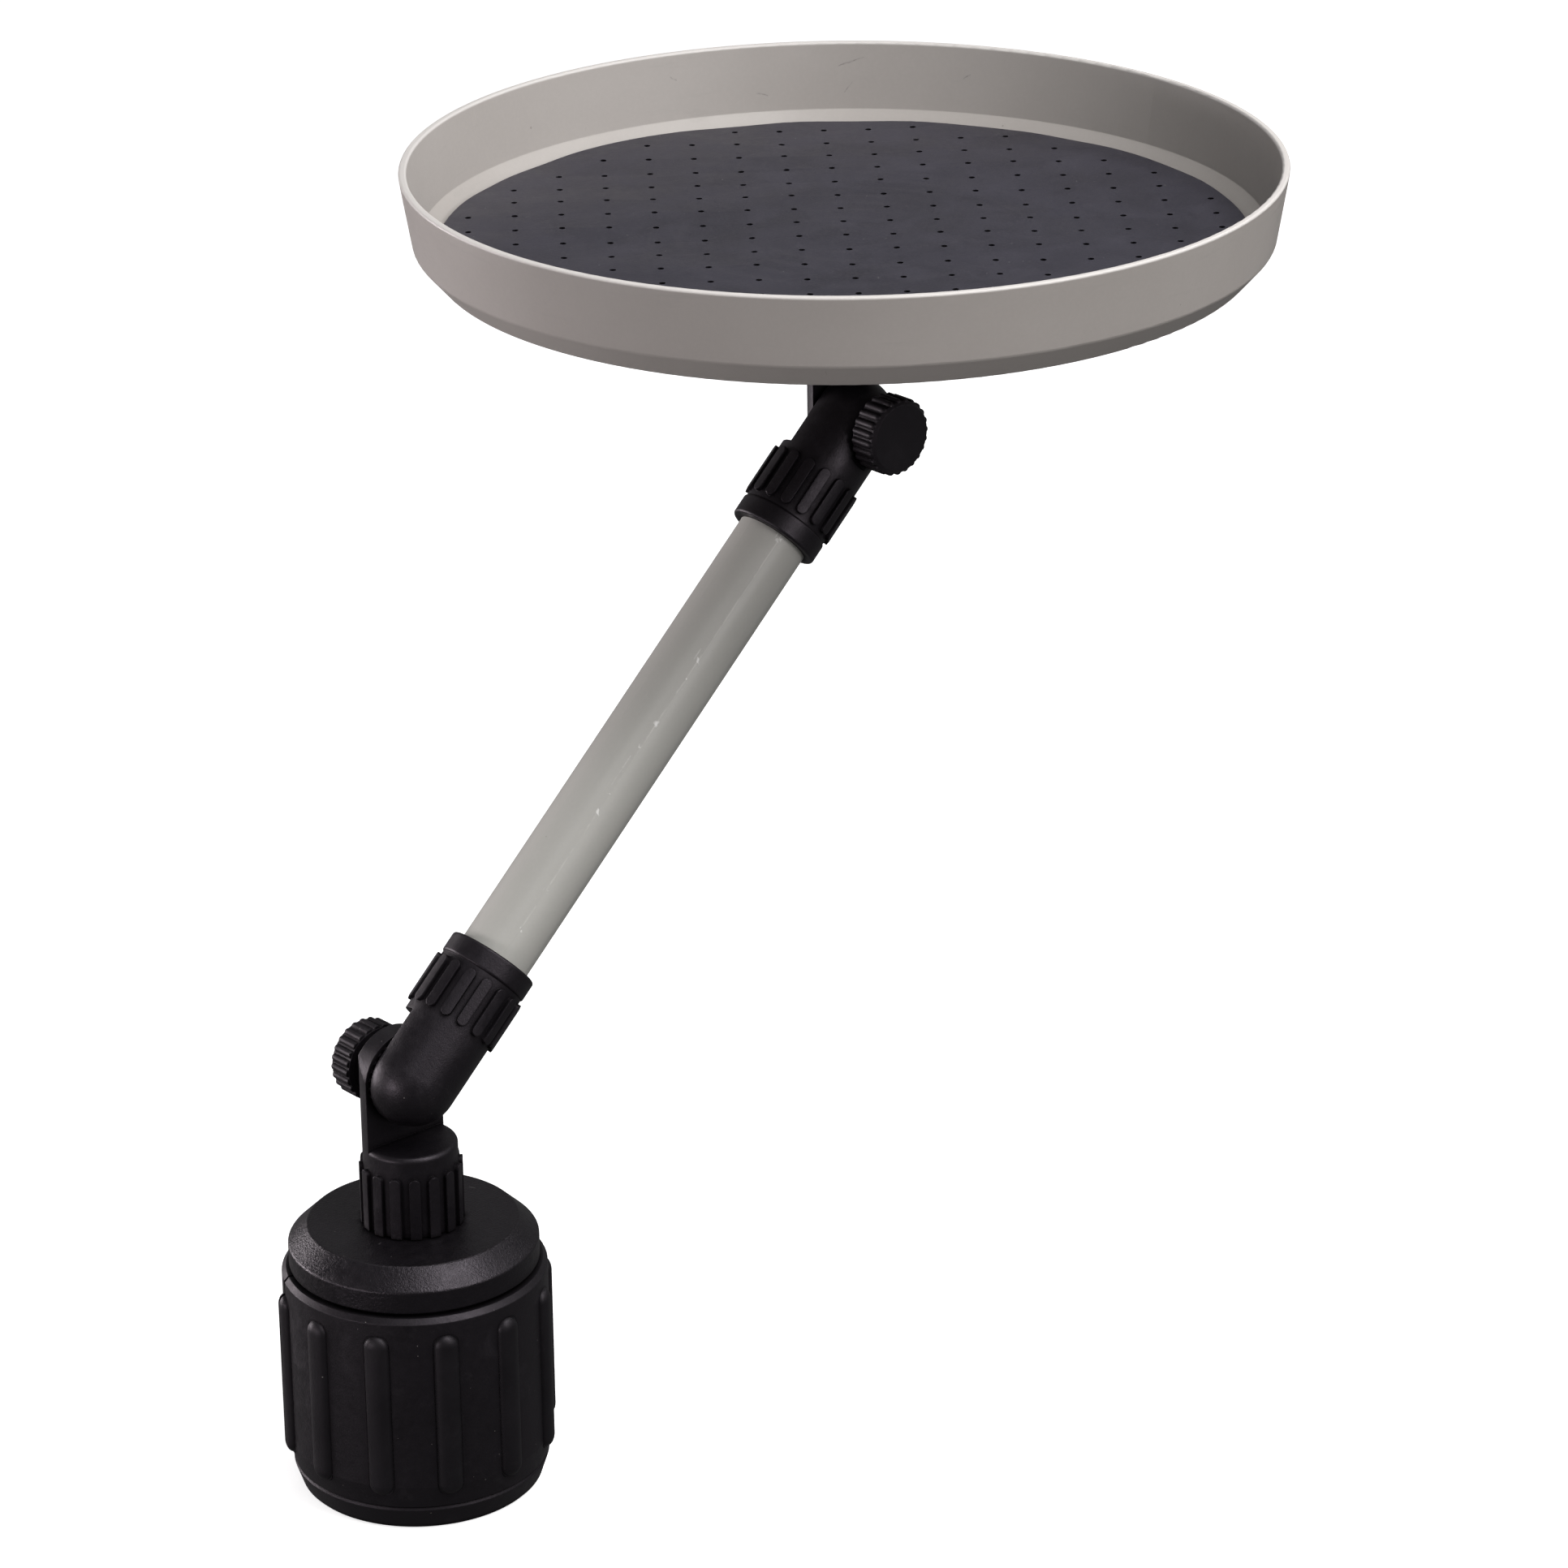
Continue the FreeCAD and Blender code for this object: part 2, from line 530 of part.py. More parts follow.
upper_insert = Part.makeCylinder(4.6, 6.0, V(TOP_PIVOT_X, EAR_FACE_Y, TOP_PIVOT_Z), V(0, 1, 0)).cut(
    Part.makeCylinder(INSERT_BORE_R, 6.0, V(TOP_PIVOT_X, EAR_FACE_Y, TOP_PIVOT_Z), V(0, 1, 0)))
stem = stem.cut(Part.makeCylinder(4.6, 26, V(TOP_PIVOT_X, EAR_FACE_Y + 6.0 - 26, TOP_PIVOT_Z), V(0, 1, 0)))

# ---------------------------------------------------------------- tray, screws, mat
zi = TRAY_Z0 + TRAY_FLOOR_T
inner_bottom_r = MAT_R + 0.3
inner_bevel_r = TRAY_BEVEL_R - TRAY_T
inner_bevel_z = zi + (inner_bevel_r - inner_bottom_r)
tray = turned([(0, TRAY_Z0), (TRAY_BOTTOM_R, TRAY_Z0), (TRAY_BEVEL_R, TRAY_BEVEL_Z), (TRAY_R, TRAY_Z1),
               (TRAY_R - TRAY_T, TRAY_Z1), (inner_bevel_r, inner_bevel_z + 0.6), (inner_bottom_r, zi), (0, zi)],
              TOP_PIVOT_X, 0)
tray = fillet(tray, 1.6, lambda e: circle_at(e, TRAY_BOTTOM_R, TRAY_Z0))
tray = fillet(tray, 1.2, lambda e: circle_at(e, TRAY_BEVEL_R, TRAY_BEVEL_Z))
tray = fillet(tray, 0.6, lambda e: circle_at(e, TRAY_R, TRAY_Z1) or circle_at(e, TRAY_R - TRAY_T, TRAY_Z1))
tray_screws = []
tray_seats = []
for k in range(4):
    a = math.radians(45 + 90 * k)
    b = V(TOP_PIVOT_X + 18.5 * math.cos(a), 18.5 * math.sin(a), zi)
    tray_screws.append(screw(1.7, TRAY_FLOOR_T + FLANGE_T - 0.2, 3.3, 1.6, b, V(0, 0, -1)))
    tray_seats.append(blank(1.7, TRAY_FLOOR_T + FLANGE_T - 0.2, 3.3, 1.6, b, V(0, 0, -1)))
for s in tray_seats:
    tray = tray.cut(s)
    stem = stem.cut(s)

mat = cyl(MAT_R, MAT_T, TOP_PIVOT_X, 0, zi)
mat = chamfer(mat, 0.3, lambda e: circle_at(e, MAT_R, zi + MAT_T))
ca, sa = math.cos(math.radians(DIMPLE_YAW)), math.sin(math.radians(DIMPLE_YAW))
dimples = []
for i in range(-11, 12):
    for j in range(-11, 12):
        gx = i * DIMPLE_PITCH + DIMPLE_OFFSET[0]
        gy = j * DIMPLE_PITCH + DIMPLE_OFFSET[1]
        if math.hypot(gx, gy) < MAT_R - 3.5:
            x = TOP_PIVOT_X + gx * ca - gy * sa
            y = gx * sa + gy * ca
            dimples.append(cyl(DIMPLE_R, DIMPLE_DEPTH + 1, x, y, zi + MAT_T - DIMPLE_DEPTH))
mat = mat.cut(Part.makeCompound(dimples))

# ---------------------------------------------------------------- yaw the base and write the nodes
def yaw(s):
    if isinstance(s, list):
        return [turn_z(i, JAW_YAW) for i in s]
    return turn_z(s, JAW_YAW)


save("foot_disc", yaw(foot))
save("foot_screws", yaw(foot_screws))
save("base_core", yaw(core))
save("guide_rods", yaw(rods))
save("jaw_front", yaw(front_jaw))
save("jaw_back", yaw(back_jaw))
save("grip_bars_front", yaw(front_pads))
save("grip_bars_back", yaw(back_pads))
save("dial_cap", yaw(cap))
save("cam_disc", yaw(cam))
save("cam_screws", yaw(cam_screws))
save("swivel_post", post)
save("swivel_insert", bolt_insert)
save("swivel_bolt", swivel_bolt)
save("swivel_washer", swivel_washer)
save("lower_elbow", lower_elbow)
save("lower_insert", lower_insert)
save("arm_tube", arm_tube)
save("upper_elbow", upper_elbow)
save("lower_knob", lower_knob)
save("lower_stud", lower_stud)
save("lower_washer", lower_washer)
save("upper_knob", upper_knob)
save("upper_stud", upper_stud)
save("upper_washer", upper_washer)
save("tray_stem", stem)
save("upper_insert", upper_insert)
save("tray", tray)
save("tray_screws", tray_screws)
save("tray_mat", mat)
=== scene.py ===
import bmesh
import bpy
import math
from mathutils import Matrix, Vector


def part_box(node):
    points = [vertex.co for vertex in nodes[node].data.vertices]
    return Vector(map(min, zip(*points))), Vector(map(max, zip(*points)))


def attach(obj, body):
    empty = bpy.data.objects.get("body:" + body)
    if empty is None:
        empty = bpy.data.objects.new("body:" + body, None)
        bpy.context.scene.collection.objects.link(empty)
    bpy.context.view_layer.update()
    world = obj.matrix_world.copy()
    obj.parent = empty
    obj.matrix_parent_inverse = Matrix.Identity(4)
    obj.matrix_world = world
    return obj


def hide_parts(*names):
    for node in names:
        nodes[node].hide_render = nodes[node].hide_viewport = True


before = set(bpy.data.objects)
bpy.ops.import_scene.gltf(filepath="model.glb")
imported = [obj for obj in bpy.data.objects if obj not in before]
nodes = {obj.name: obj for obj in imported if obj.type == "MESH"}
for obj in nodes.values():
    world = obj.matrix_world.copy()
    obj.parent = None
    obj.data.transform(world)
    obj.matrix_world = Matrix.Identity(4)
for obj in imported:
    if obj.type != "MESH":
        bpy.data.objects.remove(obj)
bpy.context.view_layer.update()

scene = bpy.context.scene
MM = 0.001

# ------------------------------------------------------------------ places, from the frame
mat_lo, mat_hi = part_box("tray_mat")
tray_lo, tray_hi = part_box("tray")
TX = (tray_lo.x + tray_hi.x) / 2
TY = (tray_lo.y + tray_hi.y) / 2
MAT_TOP = mat_hi.z
MAT_R = (mat_hi.x - mat_lo.x) / 2
ks_lo, ks_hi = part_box("lower_stud")
ku_lo, ku_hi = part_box("upper_stud")
P1 = Vector((0.0, -0.0021, (ks_lo.z + ks_hi.z) / 2))
P2 = Vector(((ku_lo.x + ku_hi.x) / 2, -0.0021, (ku_lo.z + ku_hi.z) / 2))
ARM = (P2 - P1).normalized()


# ------------------------------------------------------------------ camera
CAM_F = 7143.6
AZ = math.radians(40.995)
PITCH = math.radians(22.774)
ROLL = math.radians(0.6735)
CAM_AT = Vector((-0.81732, -1.09084, 0.76777))
f = Vector((math.sin(AZ) * math.cos(PITCH), math.cos(AZ) * math.cos(PITCH), -math.sin(PITCH)))
r = Vector((math.cos(AZ), -math.sin(AZ), 0))
d = f.cross(r)
r2 = math.cos(ROLL) * r + math.sin(ROLL) * d
d2 = -math.sin(ROLL) * r + math.cos(ROLL) * d



TUBE_Q = ARM.to_track_quat("Z", "Y").to_matrix()


# ------------------------------------------------------------------ node helpers
class Net:
    def __init__(self, name):
        self.m = bpy.data.materials.new(name)
        self.m.use_nodes = True
        self.t = self.m.node_tree
        self.t.nodes.clear()
        self.out = self.add("ShaderNodeOutputMaterial")
        self.b = self.add("ShaderNodeBsdfPrincipled")
        self.link(self.b.outputs[0], self.out.inputs[0])
        self.tc = self.add("ShaderNodeTexCoord")
        self.obj = self.tc.outputs["Object"]

    def add(self, kind, **kw):
        n = self.t.nodes.new(kind)
        for k, v in kw.items():
            setattr(n, k, v)
        return n

    def link(self, a, b):
        self.t.links.new(a, b)

    def put(self, sock, v):
        if hasattr(v, "is_output"):
            self.link(v, sock)
        else:
            sock.default_value = v

    def math(self, op, a, b=0.0, c=None, clamp=False):
        n = self.add("ShaderNodeMath", operation=op, use_clamp=clamp)
        self.put(n.inputs[0], a)
        self.put(n.inputs[1], b)
        if c is not None:
            self.put(n.inputs[2], c)
        return n.outputs[0]

    def noise(self, scale, detail=3.0, rough=0.5, vec=None, dist=0.0):
        n = self.add("ShaderNodeTexNoise")
        n.inputs["Scale"].default_value = scale
        n.inputs["Detail"].default_value = detail
        n.inputs["Roughness"].default_value = rough
        n.inputs["Distortion"].default_value = dist
        self.link(vec or self.obj, n.inputs["Vector"])
        return n.outputs["Fac"]

    def cells(self, scale, vec=None, feature="F1", rand=1.0):
        n = self.add("ShaderNodeTexVoronoi", feature=feature)
        n.inputs["Scale"].default_value = scale
        n.inputs["Randomness"].default_value = rand
        self.link(vec or self.obj, n.inputs["Vector"])
        return n

    def ramp(self, fac, *stops):
        n = self.add("ShaderNodeValToRGB")
        self.link(fac, n.inputs[0])
        e = n.color_ramp.elements
        while len(e) < len(stops):
            e.new(0.5)
        for s, (p, c) in zip(e, stops):
            s.position = p
            s.color = (c, c, c, 1) if not hasattr(c, "__len__") else (*c, 1)
        return n.outputs[0]

    def span(self, v, a, b, c, d, clamp=True):
        n = self.add("ShaderNodeMapRange", clamp=clamp)
        self.put(n.inputs[0], v)
        for i, x in enumerate((a, b, c, d)):
            n.inputs[i + 1].default_value = x
        return n.outputs[0]

    def smooth(self, v, a, b):
        n = self.add("ShaderNodeMapRange", interpolation_type="SMOOTHSTEP")
        self.put(n.inputs[0], v)
        for i, x in enumerate((a, b, 0.0, 1.0)):
            n.inputs[i + 1].default_value = x
        return n.outputs[0]

    def mix(self, fac, a, b):
        n = self.add("ShaderNodeMix", data_type="RGBA")
        self.put(n.inputs[0], fac)
        for s, v in ((n.inputs[6], a), (n.inputs[7], b)):
            if hasattr(v, "is_output"):
                self.link(v, s)
            else:
                s.default_value = (*v, 1)
        return n.outputs[2]

    def mapped(self, loc=(0, 0, 0), rot=(0, 0, 0), scale=(1, 1, 1), vec=None):
        n = self.add("ShaderNodeMapping")
        n.inputs["Location"].default_value = loc
        n.inputs["Rotation"].default_value = rot
        n.inputs["Scale"].default_value = scale
        self.link(vec or self.obj, n.inputs["Vector"])
        return n.outputs[0]

    def xyz(self, vec=None):
        n = self.add("ShaderNodeSeparateXYZ")
        self.link(vec or self.obj, n.inputs[0])
        return n.outputs

    def bump(self, height, strength, dist, normal=None):
        n = self.add("ShaderNodeBump")
        n.inputs["Strength"].default_value = strength
        n.inputs["Distance"].default_value = dist
        self.link(height, n.inputs["Height"])
        if normal is not None:
            self.link(normal, n.inputs["Normal"])
        return n.outputs[0]

    def soft_edge(self, radius):
        """Shading normal of edges broken by a small radius."""
        n = self.add("ShaderNodeBevel", samples=4)
        n.inputs["Radius"].default_value = radius
        return n.outputs[0]

    def hollow(self, reach):
        """0 down in a groove or corner, 1 on open faces; used to paint shade into grooves and corners."""
        n = self.add("ShaderNodeAmbientOcclusion", samples=6)
        n.inputs["Distance"].default_value = reach
        return self.span(n.outputs["AO"], 0.45, 0.95, 0, 1)

    def specks(self, scale, size, share, vec=None):
        """Small round specks: 1 inside a speck."""
        v = self.cells(scale, vec)
        sep = self.add("ShaderNodeSeparateColor")
        self.link(v.outputs["Color"], sep.inputs[0])
        keep = self.math("GREATER_THAN", sep.outputs[0], 1.0 - share)
        rad = self.math("MULTIPLY", sep.outputs[1], size)
        inside = self.math("LESS_THAN", v.outputs["Distance"], rad)
        return self.math("MULTIPLY", keep, inside)

    def done(self, color=None, rough=None, normal=None):
        if color is not None:
            self.put(self.b.inputs["Base Color"], color)
        if rough is not None:
            self.put(self.b.inputs["Roughness"], rough)
        if normal is not None:
            self.link(normal, self.b.inputs["Normal"])
        return self.m


# ------------------------------------------------------------------ materials
def black_plastic(name, tone=1.0, rough=0.40, grain=1.0, dust=1.0, nicks=(), sand=0.0):
    """Dark moulded plastic with an eroded satin grain, handling marks, a little dust and painted shade in its grooves
    and corners.
    """
    n = Net(name)
    big = n.noise(38, 4, 0.55)
    fine = n.noise(2600, 2, 0.6)
    mid = n.noise(420, 3, 0.6)
    lo = tuple(c * tone for c in (0.0021, 0.0017, 0.0024))
    hi = tuple(c * tone for c in (0.0042, 0.0034, 0.0047))
    col = n.mix(n.span(big, 0.35, 0.7, 0, 1), lo, hi)
    col = n.mix(n.span(fine, 0.35, 0.75, 0, 0.35), col, tuple(c * tone for c in (0.0105, 0.0095, 0.0112)))
    haze = n.math("MULTIPLY", n.span(n.noise(90, 5, 0.7, dist=0.6), 0.55, 0.8, 0, 1), 0.30 * dust)
    col = n.mix(haze, col, (0.026, 0.024, 0.027))
    sp = n.specks(900, 0.16, 0.030 * dust)
    col = n.mix(n.math("MULTIPLY", sp, 0.55), col, (0.30, 0.28, 0.27))
    # small handling nicks: (place, heading, half length), a pale burr with a painted shadow beside it
    x, y, z = n.xyz() if nicks else (None, None, None)
    for (px, py, pz), head, half in nicks:
        dx, dy = n.math("SUBTRACT", x, px), n.math("SUBTRACT", y, py)
        ch, sh = math.cos(head), math.sin(head)
        run = n.math("ADD", n.math("MULTIPLY", dx, ch), n.math("MULTIPLY", dy, sh))
        off = n.math("SUBTRACT", n.math("MULTIPLY", dy, ch), n.math("MULTIPLY", dx, sh))
        off = n.math("ADD", off, n.math("MULTIPLY", n.math("MULTIPLY", run, run), 90.0))
        near_it = n.math("MULTIPLY", n.span(n.math("ABSOLUTE", run), half * 0.8, half, 1, 0),
                         n.math("GREATER_THAN", z, pz - 0.0004))
        pale = n.math("MULTIPLY", n.span(n.math("ABSOLUTE", off), 0.00008, 0.00020, 1, 0), near_it)
        # painted shadow: a dark strip beside each burr
        nick_shadow = n.math("MULTIPLY", n.span(n.math("ABSOLUTE", n.math("SUBTRACT", off, 0.00035)), 0.0001, 0.0003, 1, 0), near_it)
        col = n.mix(n.math("MULTIPLY", nick_shadow, 0.9), col, (0.0008, 0.0008, 0.0008))
        col = n.mix(n.math("MULTIPLY", pale, 0.6), col, (0.10, 0.095, 0.10))
    r = n.span(mid, 0.3, 0.7, rough - 0.06, rough + 0.07)
    r = n.math("ADD", r, n.math("MULTIPLY", haze, 0.5))
    # painted shade: grooves, corners and gaps between parts are darkened in colour and dimmed in reflection
    open_face = n.hollow(0.0022)
    col = n.mix(open_face, (0.0016, 0.0013, 0.0017), col)
    r = n.math("ADD", r, n.span(open_face, 0, 1, 0.25, 0.0))
    n.link(n.span(open_face, 0, 1, 0.08, 0.42), n.b.inputs["Specular IOR Level"])
    n.b.inputs["Specular Tint"].default_value = (1.0, 0.90, 1.02, 1.0)
    nb = n.bump(fine, 0.26 * grain, 0.00012, n.soft_edge(0.00035))
    nb = n.bump(mid, 0.14 * grain, 0.00024, nb)
    nb = n.bump(n.noise(70, 3, 0.55), 0.10 * grain, 0.0009, nb)
    if sand:
        nb = n.bump(n.noise(1350, 2, 0.75), sand, 0.00032, nb)
    return n.done(col, r, nb)


def black_rubber(name):
    """Soft matte rubber, slightly greyed by rubbing."""
    n = Net(name)
    big = n.noise(55, 4, 0.6)
    fine = n.noise(1900, 3, 0.6)
    col = n.mix(n.span(big, 0.35, 0.7, 0, 1), (0.0026, 0.0023, 0.0030), (0.0050, 0.0044, 0.0055))
    rub = n.math("MULTIPLY", n.span(n.noise(160, 5, 0.7, dist=0.8), 0.52, 0.78, 0, 1), 0.35)
    col = n.mix(rub, col, (0.017, 0.016, 0.018))
    sp = n.specks(700, 0.15, 0.04)
    col = n.mix(n.math("MULTIPLY", sp, 0.5), col, (0.26, 0.25, 0.24))
    r = n.span(big, 0.3, 0.7, 0.46, 0.56)
    n.b.inputs["Specular IOR Level"].default_value = 0.40
    n.b.inputs["Specular Tint"].default_value = (1.0, 0.91, 1.02, 1.0)
    nb = n.bump(fine, 0.25, 0.00010)
    nb = n.bump(n.noise(300, 3, 0.6), 0.14, 0.00030, nb)
    return n.done(col, r, nb)


def grey_tray():
    """Warm grey moulded plastic of the dish, with turned haze, scuffs and short hairlines."""
    n = Net("tray_grey")
    x, y, z = n.xyz(n.mapped(loc=(-TX, -TY, 0)))
    rad = n.math("SQRT", n.math("ADD", n.math("MULTIPLY", x, x), n.math("MULTIPLY", y, y)))
    ang = n.math("ARCTAN2", y, x)
    big = n.noise(17, 4, 0.55)
    fine = n.noise(900, 3, 0.6)
    col = n.mix(n.span(big, 0.3, 0.7, 0, 1), (0.402, 0.374, 0.353), (0.438, 0.410, 0.389))
    col = n.mix(n.span(fine, 0.4, 0.8, 0, 0.18), col, (0.50, 0.475, 0.45))
    # rubbed marks that run round the wall
    ring = n.add("ShaderNodeCombineXYZ")
    n.link(n.math("MULTIPLY", ang, 0.9), ring.inputs[0])
    n.link(n.math("MULTIPLY", z, 60.0), ring.inputs[1])
    n.link(n.math("MULTIPLY", rad, 30.0), ring.inputs[2])
    streak = n.noise(5.0, 6, 0.65, ring.outputs[0], 0.3)
    mark = n.span(streak, 0.60, 0.74, 0, 1)
    col = n.mix(n.math("MULTIPLY", mark, 0.22), col, (0.33, 0.315, 0.30))
    # short dark scuffs, few and small
    sc = n.noise(130, 2, 0.5, n.mapped(scale=(1, 1, 0.35)), 1.4)
    scuff = n.math("MULTIPLY", n.span(sc, 0.735, 0.76, 0, 1), n.span(n.noise(28, 1), 0.55, 0.62, 0, 1))
    col = n.mix(n.math("MULTIPLY", scuff, 0.55), col, (0.17, 0.16, 0.15))
    sp = n.specks(260, 0.10, 0.035)
    col = n.mix(n.math("MULTIPLY", sp, 0.5), col, (0.20, 0.18, 0.16))
    # painted highlight: the top edge of the rim is painted paler, where it faces the light from above
    # a few hand-length rubs on the inside of the far wall: (angle, height from the rim, half length rad, slope)
    for a0, h0, la, sl in ((47.2, 0.0054, 0.034, -0.35), (47.6, 0.0125, 0.011, -1.1), (60.0, 0.0135, 0.016, 0.25),
                           (30.5, 0.0085, 0.010, -0.7), (73.0, 0.0070, 0.009, 0.5)):
        da = n.math("SUBTRACT", ang, math.radians(a0))
        dz = n.math("ADD", n.math("SUBTRACT", z, tray_hi.z - h0), n.math("MULTIPLY", da, -sl * 0.1165))
        wob = n.math("MULTIPLY", n.math("SUBTRACT", n.noise(420, 2), 0.5), 0.0009)
        thin = n.span(n.math("ABSOLUTE", n.math("ADD", dz, wob)), 0.0, 0.00030, 1, 0)
        there = n.span(n.math("ABSOLUTE", da), la * 0.8, la, 1, 0)
        inner = n.math("LESS_THAN", rad, 0.1155)
        hit = n.math("MULTIPLY", n.math("MULTIPLY", thin, there), inner)
        hit = n.math("MULTIPLY", hit, n.span(n.noise(900, 2), 0.35, 0.6, 0.2, 1))
        col = n.mix(n.math("MULTIPLY", hit, 0.55), col, (0.10, 0.095, 0.09))
    # painted highlight along the top edge of the rim
    lip_highlight = n.smooth(z, tray_hi.z - 0.0009, tray_hi.z - 0.0003)
    col = n.mix(n.math("MULTIPLY", lip_highlight, 0.75), col, (0.74, 0.71, 0.69))
    r = n.span(n.noise(60, 4, 0.6), 0.3, 0.7, 0.36, 0.46)
    r = n.math("ADD", r, n.math("MULTIPLY", mark, 0.10))
    nb = n.bump(n.noise(1500, 2, 0.6), 0.10, 0.00008, n.soft_edge(0.00050))
    nb = n.bump(n.noise(45, 3, 0.5), 0.10, 0.00060, nb)
    n.b.inputs["Specular IOR Level"].default_value = 0.42
    return n.done(col, r, nb)


def grey_tube():
    """Paler grey of the drawn tube: a mould line along it, hairline scratches and nicks painted near white, partly a
    painted highlight for their glints.
    """
    n = Net("tube_grey")
    inv = TUBE_Q.inverted()
    e = inv.to_euler("XYZ")
    at = inv @ (-P1)
    v = n.mapped(loc=at, rot=e)
    x, y, z = n.xyz(v)
    ang = n.math("ARCTAN2", y, x)
    big = n.noise(22, 4, 0.55)
    col = n.mix(n.span(big, 0.3, 0.7, 0, 1), (0.455, 0.452, 0.425), (0.495, 0.490, 0.462))
    col = n.mix(n.span(n.noise(1100, 2), 0.4, 0.8, 0, 0.15), col, (0.56, 0.55, 0.52))
    along = n.add("ShaderNodeCombineXYZ")
    n.link(n.math("MULTIPLY", ang, 10.0), along.inputs[0])
    n.link(n.math("MULTIPLY", z, 26.0), along.inputs[1])
    hair = n.noise(3.2, 8, 0.75, along.outputs[0], 0.15)
    hair = n.span(hair, 0.615, 0.66, 0, 1)
    col = n.mix(n.math("MULTIPLY", hair, 0.22), col, (0.66, 0.65, 0.62))
    wig = n.math("MULTIPLY", n.math("SUBTRACT", n.noise(26, 3, 0.6), 0.5), 0.10)
    off = n.math("ABSOLUTE", n.math("SUBTRACT", n.math("ADD", ang, wig), SEAM_ANG))
    seam = n.span(off, 0.0, 0.030, 1, 0)
    broken = n.span(n.noise(75, 4, 0.7, dist=0.5), 0.46, 0.56, 0, 1)
    seam_m = n.math("MULTIPLY", seam, broken)
    col = n.mix(n.math("MULTIPLY", seam_m, 0.55), col, (0.70, 0.69, 0.66))
    # nicks near the mould line: real nicks, painted near white as a painted highlight for their glints
    nick_glint = n.math("MULTIPLY", n.span(off, 0.02, 0.10, 1, 0), n.span(n.noise(330, 2, 0.5, dist=1.0), 0.66, 0.70, 0, 1))
    col = n.mix(n.math("MULTIPLY", nick_glint, 0.9), col, (0.88, 0.88, 0.86))
    beside = n.math("ABSOLUTE", n.math("SUBTRACT", n.math("ADD", ang, n.math("MULTIPLY", wig, 1.6)), SEAM_ANG - 0.11))
    rub = n.math("MULTIPLY", n.span(beside, 0.006, 0.022, 1, 0), n.span(n.noise(48, 5, 0.7, dist=0.4), 0.50, 0.57, 0, 1))
    col = n.mix(n.math("MULTIPLY", rub, 0.5), col, (0.80, 0.80, 0.78))
    sp = n.specks(330, 0.10, 0.02)
    col = n.mix(n.math("MULTIPLY", sp, 0.5), col, (0.22, 0.2, 0.18))
    r = n.span(n.noise(50, 4, 0.6), 0.3, 0.7, 0.32, 0.42)
    r = n.math("ADD", r, n.math("MULTIPLY", hair, 0.15))
    h = n.math("ADD", n.math("MULTIPLY", seam, 0.8), n.math("MULTIPLY", hair, -0.35))
    nb = n.bump(h, 0.35, 0.00012)
    nb = n.bump(n.noise(30, 3, 0.5), 0.12, 0.0007, nb)
    n.b.inputs["Specular IOR Level"].default_value = 0.45
    return n.done(col, r, nb)


def charcoal_mat():
    """Charcoal rubber mat: bluish, greyed by dust, with faint turned rings, smears and painted shade in its hollows
    and along the wall.
    """
    n = Net("mat_charcoal")
    x, y, z = n.xyz(n.mapped(loc=(-TX, -TY, 0)))
    rad = n.math("SQRT", n.math("ADD", n.math("MULTIPLY", x, x), n.math("MULTIPLY", y, y)))
    big = n.noise(13, 5, 0.6, dist=0.7)
    mid = n.noise(70, 5, 0.65, dist=0.5)
    fine = n.noise(1300, 3, 0.65)
    col = n.mix(n.span(big, 0.32, 0.68, 0, 1), (0.0180, 0.0171, 0.0245), (0.0325, 0.0311, 0.0435))
    col = n.mix(n.span(mid, 0.42, 0.75, 0, 0.5), col, (0.048, 0.0455, 0.060))
    col = n.mix(n.span(fine, 0.45, 0.8, 0, 0.35), col, (0.060, 0.058, 0.066))
    wob = n.math("MULTIPLY", n.math("SUBTRACT", n.noise(20, 2), 0.5), 0.004)
    wave = n.math("SINE", n.math("MULTIPLY", n.math("ADD", rad, wob), 900.0))
    rings = n.math("MULTIPLY", n.span(wave, 0.2, 1.0, 0, 1), n.span(rad, 0.030, 0.075, 1, 0))
    rings = n.math("MULTIPLY", rings, n.span(n.noise(40, 3), 0.45, 0.65, 0, 1))
    col = n.mix(n.math("MULTIPLY", rings, 0.16), col, (0.075, 0.070, 0.080))
    lint = n.noise(190, 3, 0.6, n.mapped(scale=(1, 2.4, 1), rot=(0, 0, 0.7)), 2.0)
    lint = n.span(lint, 0.70, 0.74, 0, 1)
    col = n.mix(n.math("MULTIPLY", lint, 0.25), col, (0.16, 0.155, 0.16))
    sp = n.specks(620, 0.14, 0.035)
    col = n.mix(n.math("MULTIPLY", sp, 0.55), col, (0.30, 0.29, 0.29))
    # painted shade: hollows and the edge against the tray wall are darkened in colour and dimmed in reflection
    open_face = n.hollow(0.0026)
    col = n.mix(open_face, (0.0035, 0.0032, 0.0040), col)
    n.link(n.span(open_face, 0, 1, 0.05, 0.42), n.b.inputs["Specular IOR Level"])
    n.b.inputs["Specular Tint"].default_value = (0.98, 0.94, 1.08, 1.0)
    r = n.span(mid, 0.3, 0.7, 0.40, 0.54)
    nb = n.bump(fine, 0.30, 0.00010)
    nb = n.bump(mid, 0.22, 0.00055, nb)
    nb = n.bump(n.noise(11, 3, 0.5, dist=0.4), 0.55, 0.0040, nb)
    return n.done(col, r, nb)


def white_plastic():
    n = Net("cam_white")
    col = n.mix(n.span(n.noise(60, 4), 0.3, 0.7, 0, 1), (0.60, 0.60, 0.57), (0.70, 0.70, 0.67))
    n.b.inputs["Specular IOR Level"].default_value = 0.4
    return n.done(col, n.span(n.noise(200, 3), 0.3, 0.7, 0.42, 0.58), n.bump(n.noise(900, 3), 0.12, 0.0001))


